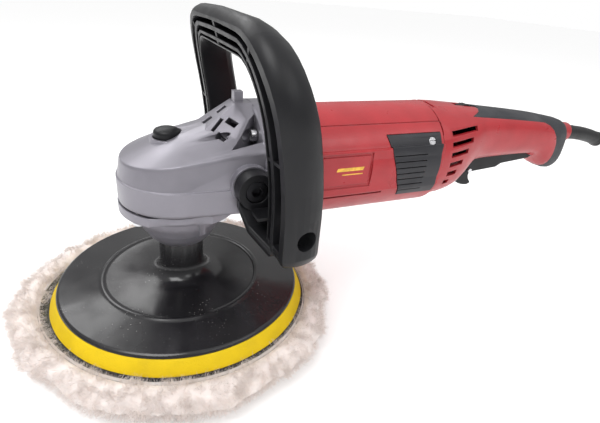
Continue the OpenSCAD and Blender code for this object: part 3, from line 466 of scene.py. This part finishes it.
def revolve(name, body, outline, steps, finish, shift, smooth=40):
    """Turns (radius, height) points about the spindle, each point moved by shift(point, angle)."""
    vertices, faces = [], []
    rows = len(outline)
    for i in range(steps):
        angle = 2 * math.pi * i / steps
        for radius, height in outline:
            point = Vector((radius * math.cos(angle), radius * math.sin(angle), height))
            vertices.append(shift(point, angle))
    for i in range(steps):
        j = (i + 1) % steps
        for k in range(rows - 1):
            faces.append((i * rows + k, j * rows + k, j * rows + k + 1, i * rows + k + 1))
    piece = new_piece(name, body, vertices, faces, [finish], smooth)
    shape = bmesh.new()
    shape.from_mesh(piece.data)
    bmesh.ops.remove_doubles(shape, verts=shape.verts, dist=0.000001)
    bmesh.ops.recalc_face_normals(shape, faces=shape.faces)
    shape.to_mesh(piece.data)
    shape.free()
    return piece


def resample(outline, spacing):
    """The outline as a smooth line of points about spacing apart."""
    points = [outline[0]]
    for a, b in zip(outline, outline[1:]):
        parts = max(1, round(math.dist(a, b) / spacing))
        for i in range(1, parts + 1):
            points.append(tuple(p + (q - p) * i / parts for p, q in zip(a, b)))
    return points


# ---- Wool bonnet ----

def fleece_outline():
    """Half section of the wool, from the pad's pocket, over the rim and under to the axis."""
    rim, _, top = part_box("wool_pile")[1]
    backing_low, backing_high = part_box("wool_backing")
    floor, pocket = backing_low.z, backing_high.x + 0.0004
    centre = (rim - WOOL_ROLL, top - WOOL_ROLL)
    roll = []
    for degrees in range(150, -11, -20):
        angle = math.radians(degrees)
        roll.append((centre[0] + WOOL_ROLL * math.cos(angle),
                     centre[1] + WOOL_ROLL * math.sin(angle)))
    under = [(rim - 0.004, 0.0115), (rim - 0.010, 0.0055), (rim - 0.017, 0.0012),
             (rim - 0.022, WOOL_FOOT)]
    inside = [(0, floor), (pocket, floor), (pocket, floor + 0.003)]
    return resample([*inside, *roll, *under, (0, WOOL_FOOT)], 0.0019)


def bulge(angle):
    """How far the fleece leans out in each direction, in metres: it is combed unevenly by use."""
    swell = noise.noise(Vector((2.1 * math.cos(angle), 2.1 * math.sin(angle), 4.2)))
    tuft = noise.noise(Vector((7 * math.cos(angle), 7 * math.sin(angle), 1.3)))
    return 0.005 * swell + 0.0035 * tuft


def pocket_gap(angle):
    """The wool is pulled back on the far left, where the cloth under it shows."""
    turn = (math.degrees(angle) - 168 + 180) % 360 - 180
    return 0.0055 * math.exp(-((turn / 30) ** 2))


def fluff(point, angle):
    """Moves a point of the fleece out by its bulge and by lumps the size of a lock of wool."""
    radius = math.hypot(point.x, point.y)
    loose = min(1, max(0, (radius - 0.093) / 0.012)) * min(1, max(0.15, point.z / 0.012))
    away = Vector((math.cos(angle), math.sin(angle), 0))
    lock = noise.fractal(point * 60, 1.2, 2.1, 3) * 0.0022
    curl = noise.noise(point * 300) * 0.0003
    out = away * ((bulge(angle) + lock + curl) * loose + pocket_gap(angle) * (radius > 0.0912))
    rise = noise.fractal(point * 60 + Vector((5, 1, 2)), 1.2, 2.1, 3) * 0.0018 * loose
    moved = point + out + Vector((0, 0, 1)) * rise * min(1, max(0, (radius - 0.094) / 0.005))
    moved.z = max(moved.z, WOOL_FOOT)
    return moved


def tufts(surface, finish):
    """Locks of fine fibres over the rim: each lock's fibres start apart and lean to one tip."""
    rng = random.Random(WOOL_SEED)
    noise.seed_set(WOOL_SEED)       # without it noise_vector takes its offsets from the clock
    mesh = surface.data
    faces = [p for p in mesh.polygons if p.center.xy.length > WOOL_FREE and p.center.z > 0.0012]
    weights = np.cumsum([p.area for p in faces])
    vertices, strips = [], []
    for _ in range(WOOL_LOCKS):
        face = faces[int(np.searchsorted(weights, rng.random() * weights[-1]))]
        root, normal = face.center.copy(), face.normal.copy()
        outward = Vector((root.x, root.y, 0)).normalized()
        around = Vector((-outward.y, outward.x, 0))
        sweep = noise.noise_vector(root * 60)
        reach = 0.45 if root.xy.length > 0.099 else -0.35
        lean = (normal * 0.62 + outward * reach + around * (0.5 * sweep.x)
                + Vector((0, 0, 0.25 * sweep.y))).normalized()
        length = rng.uniform(0.002, 0.0048)
        tip = root + lean * length
        for _ in range(LOCK_FIBRES):
            start = root + Vector([rng.gauss(0, 0.0022) for _ in range(3)]) - normal * 0.0012
            end = tip + Vector([rng.gauss(0, 0.0015) for _ in range(3)])
            stray = Vector([rng.gauss(0, 0.0006) for _ in range(3)])
            middle = (start + end) / 2 + stray + normal * 0.0006
            side = lean.cross(Vector([rng.gauss(0, 1) for _ in range(3)])).normalized() * 0.00009
            for p in (start, middle, end):
                p.z = max(p.z, 0.0003)
            n = len(vertices)
            vertices += [start - side, start + side, middle - side * 0.8, middle + side * 0.8, end]
            strips += [(n, n + 1, n + 3, n + 2), (n + 2, n + 3, n + 4)]
    return new_piece("wool_tufts", "spindle_group", vertices, strips, [finish])


def make_bonnet():
    wool = wool_finish()
    fleece = revolve("wool_fleece", "spindle_group", fleece_outline(), 420, wool, fluff, 180)
    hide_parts("wool_pile")
    locks = tufts(fleece, wool)


def layer_outline(name, bow, reach):
    """A flat round layer's half section: its edge is let out by reach and bowed by bow."""
    low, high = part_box(name)
    thick, rim = high.z - low.z, high.x + reach - bow
    edge = [(rim + bow * math.sin(math.pi * t / 6), low.z + thick * t / 6) for t in range(7)]
    return resample([(0, low.z), *edge, (0, high.z)], 0.004)


def make_layers():
    """Knitted backing, under the wool's rim, and hook disc, each a little uneven at its edge."""
    knit = woven("knit_backing", (0.05, 0.047, 0.03), (0.6, 0.55, 0.35))
    hooks = woven("hook_cloth", (0.016, 0.016, 0.017), (0.25, 0.22, 0.12), 0.9)

    def uneven(point, angle):
        pull = 0.0005 * abs(noise.noise(point * 220)) * (point.xy.length > 0.08)
        return point - Vector((math.cos(angle), math.sin(angle), 0)) * pull

    layers = (("wool_backing", knit, 0.0002, 0.0065), ("hook_disc", hooks, 0.0003, 0))
    for name, finish, bow, reach in layers:
        outline = layer_outline(name, bow, reach)
        piece = revolve(name + "_cloth", "spindle_group", outline, 300, finish, uneven)
        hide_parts(name)


def make_foam():
    """The yellow foam: its cut edge tapers up to the plate and gives a little all round."""
    low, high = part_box("foam_ring")
    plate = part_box("backing_plate")[1].x
    bore = 0.020
    edge = [(high.x - 0.0004, low.z), (high.x, low.z + 0.0008), (high.x - 0.0005, low.z + 0.002)]
    edge += [(plate + 0.0011, high.z - 0.0014), (plate + 0.0007, high.z - 0.0004),
             (plate + 0.0002, high.z)]
    outline = resample([(bore, low.z), *edge, (bore, high.z), (bore, low.z)], 0.0012)

    def dent(point, angle):
        give = (0.00035 * noise.noise(point * 45) - 0.0002) * (point.xy.length > 0.08)
        return point + Vector((math.cos(angle), math.sin(angle), 0)) * give

    foam = revolve("foam_layer", "spindle_group", outline, 360, foam_finish(), dent)
    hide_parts("foam_ring")


# ---- Hard parts ----

def make_machine():
    red = moulded("red_plastic", (0.36, 0.020, 0.026), 0.33, worn=0.2, Specular_IOR_Level=0.45)
    black = moulded("black_plastic", (0.008, 0.008, 0.0095), 0.42, worn=0.05,
                    Specular_IOR_Level=0.28)
    plate = moulded("plate_plastic", (0.010, 0.0095, 0.011), 0.2, grain=0.00002, dust=0.8,
                    Specular_IOR_Level=0.45)
    dark = moulded("cover_plastic", (0.020, 0.020, 0.024), 0.42, Specular_IOR_Level=0.35)
    matt = rubber("grip_rubber", (0.028, 0.029, 0.034))
    sleeve = rubber("sleeve_rubber", (0.010, 0.010, 0.011), 0.5)
    alloy = cast_metal("cast_alloy", (0.235, 0.225, 0.255), 0.38, 0.5)
    shells = (("gear_case", alloy, 0.0008, 20), ("bearing_cover", alloy, 0.0005, 24),
              ("backing_plate", plate, 0.0005, 24), ("loop_handle", black, 0.0008, 24),
              ("motor_housing", red, 0.0005, 24), ("trigger", black, 0.0007, 24),
              ("rear_shell_left", red, 0.0003, 24), ("rear_shell_right", red, 0.0003, 24),
              ("soft_grip", matt, 0.0003, 24), ("side_cover_left", dark, 0.0003, 24),
              ("side_cover_right", dark, 0.0003, 24), ("lock_button", black, 0.0005, 24),
              ("badge_plate", red, 0.00025, 24), ("speed_dial", black, 0.0002, 24),
              ("cord_sleeve", sleeve, 0.0004, 24))
    for name, finish, width, sharp in shells:
        rounded(name, finish, width, sharp)
    dress(black, "fan_baffle", "cooling_fan", "switch_body", "switch_plunger", "cord_clamp",
          "brush_holders")


def make_badge():
    """Plain gold bars on each side's badge plate, in place of the machine's printing."""
    gold = Finish("gold_print", (0.72, 0.42, 0.06), 0.35, 0.3)
    gold.paint(gold.tint(300, 0.2))
    gold.gloss(200, 0.1)
    ink = gold.done()
    low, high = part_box("badge_plate")
    thick = 0.00012
    bars = ((0.30, 0.86, 0.50, 0.62), (0.42, 0.86, 0.36, 0.40))
    for side, face in (("right", low.y), ("left", high.y)):
        for number, (start, end, bottom, top) in enumerate(bars):
            x = [low.x + (high.x - low.x) * share for share in (start, end)]
            z = [low.z + (high.z - low.z) * share for share in (bottom, top)]
            slant = (z[1] - z[0]) * 0.4
            y = (face - thick, face + thick)
            corners = [(x[0], z[0]), (x[1], z[0]), (x[1] + slant, z[1]), (x[0] + slant, z[1])]
            vertices = [(cx, cy, cz) for cy in y for cx, cz in corners]
            faces = [(0, 1, 2, 3), (7, 6, 5, 4)]
            faces += [(i, i + 4, (i + 1) % 4 + 4, (i + 1) % 4) for i in range(4)]
            bar = new_piece(f"badge_bar_{side}_{number}", "machine", vertices, faces, [ink], 30)
            corner = bar.modifiers.new("round", "BEVEL")
            corner.width = thick * 0.8
            corner.segments = 2


def make_metalwork():
    steel = turned_metal("bright_steel", (0.60, 0.60, 0.62), 0.28)
    gear = turned_metal("gear_steel", (0.36, 0.35, 0.34), 0.35)
    brass = turned_metal("copper_bars", (0.72, 0.38, 0.22), 0.32, (12, 1, 1))
    blued = turned_metal("blued_steel", (0.05, 0.05, 0.055), 0.4)
    dress(blued, "handle_bolts")
    dress(steel, "cover_screws", "case_screws", "cover_plate_screws", "shell_screws",
          "clamp_screws", "trigger_pin", "lock_on_pin", "brush_springs",
          "spindle_circlip", "hub_insert", "pinion_nut", "bearing_retainer", "lock_pin", "gear_key")
    dress(gear, "ring_gear", "pinion", "spindle", "armature_shaft", "spindle_bush",
          "spindle_bearing_outer", "spindle_bearing_inner", "front_bearing_outer",
          "front_bearing_inner", "rear_bearing_outer", "rear_bearing_inner")
    dress(brass, "commutator")
    dress(laminations("stator_sheets", (0.30, 0.30, 0.31)), "stator_core", "armature_core")
    dress(windings("copper_wire", (0.62, 0.24, 0.09)), "field_coils", "armature_windings")
    dress(rubber("carbon", (0.03, 0.03, 0.032), 0.7), "carbon_brushes")
    dress(moulded("pot_resin", (0.10, 0.05, 0.02), 0.4), "dial_potentiometer")


def coil_spring(name, turns, finish):
    """A coil of round wire, which fills the sleeve that stands for it in the CAD."""
    low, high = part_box(name)
    outer = (high.x - low.x) / 2
    wire = outer * 0.15
    x, y = (low.x + high.x) / 2, (low.y + high.y) / 2
    vertices, faces = [], []
    per_turn, ring = 24, 10
    steps = turns * per_turn
    for i in range(steps + 1):
        angle = 2 * math.pi * i / per_turn
        z = low.z + wire + (high.z - low.z - 2 * wire) * i / steps
        for k in range(ring):
            turn = 2 * math.pi * k / ring
            radius = outer - wire + wire * math.cos(turn)
            vertices.append((x + radius * math.cos(angle), y + radius * math.sin(angle),
                             z + wire * math.sin(turn)))
    for i in range(steps):
        for k in range(ring):
            j = (k + 1) % ring
            faces.append((i * ring + k, (i + 1) * ring + k, (i + 1) * ring + j, i * ring + j))
    faces += [tuple(range(ring)), tuple(reversed(range(steps * ring, (steps + 1) * ring)))]
    spring = new_piece(name + "_coil", NODES[name]["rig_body"], vertices, faces, [finish], 60)
    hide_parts(name)
    return spring


def make_springs():
    """Coils of wire for the lock and trigger springs, each with a mesh of its own."""
    wire = turned_metal("spring_wire", (0.50, 0.50, 0.52), 0.3)
    lock = coil_spring("lock_spring", 3, wire)
    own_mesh(lock)
    trigger = coil_spring("trigger_spring", 5, wire)
    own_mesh(trigger)


make_camera()
make_studio()
make_bonnet()
make_layers()
make_foam()
make_machine()
make_badge()
make_metalwork()
make_springs()
